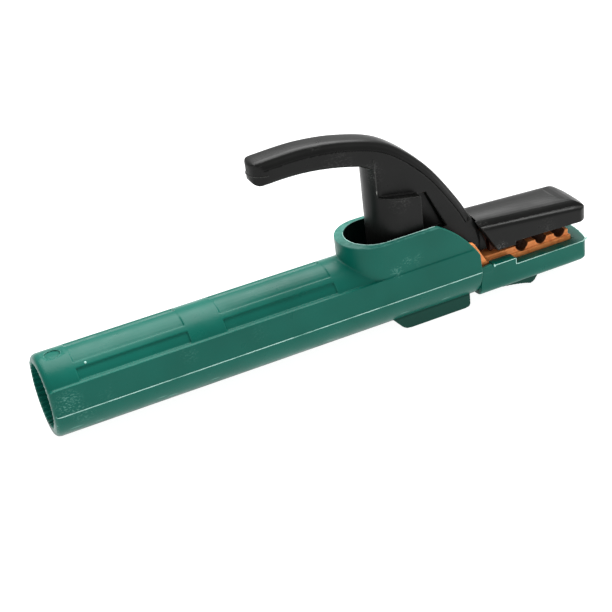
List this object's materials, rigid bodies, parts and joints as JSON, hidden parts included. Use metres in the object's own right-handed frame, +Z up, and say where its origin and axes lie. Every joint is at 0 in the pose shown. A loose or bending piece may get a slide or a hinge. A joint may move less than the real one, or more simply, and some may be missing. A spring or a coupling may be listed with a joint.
{
  "type": "welding electrode holder",
  "caption": "Hand-held lever-jaw welding electrode holder with round moulded handle, sprung lever and grooved copper jaws.",
  "frame": {"origin": "middle of the bounding box at the level of the foot's flat underside", "axes": "+X from the cable end to the jaws along the handle, +Y across the handle, +Z up through the lever"},
  "size_m": [0.2618, 0.0348, 0.0972],
  "materials": {
    "green_plastic": "moulded satin plastic",
    "black_plastic": "moulded satin plastic",
    "copper": "copper-plated cast brass",
    "brass": "machined",
    "spring_steel": "oiled wire",
    "zinc_steel": "zinc plated",
    "fibre": "pressed fibre"
  },
  "bodies": {
    "body": {"handle_housing": "green_plastic", "lower_jaw_shell": "green_plastic", "lower_jaw": "copper", "contact_body": "brass", "cable_saddle": "brass", "spring": "spring_steel", "spring_seat": "fibre", "pivot_bush_left": "fibre", "pivot_bush_right": "fibre", "pivot_pin": "zinc_steel", "cable_screw_1": "zinc_steel", "cable_screw_2": "zinc_steel", "jaw_screw_1": "zinc_steel", "jaw_screw_2": "zinc_steel", "handle_screw": "zinc_steel", "shell_screw": "zinc_steel"},
    "lever_arm": {"lever": "black_plastic", "upper_jaw": "copper", "upper_jaw_cover": "black_plastic", "lever_pin": "zinc_steel", "cover_screw": "zinc_steel"}
  },
  "joints": [
    {"name": "lever_pivot", "type": "hinge", "parent": "body", "child": "lever_arm", "pos_m": [0.05735, 0, 0.029], "axis": [0, -1, 0], "range_deg": [0, 18], "stiffness_Nm_per_rad": 6, "springref_deg": -20.05, "deforming": ["spring"]}
  ]
}
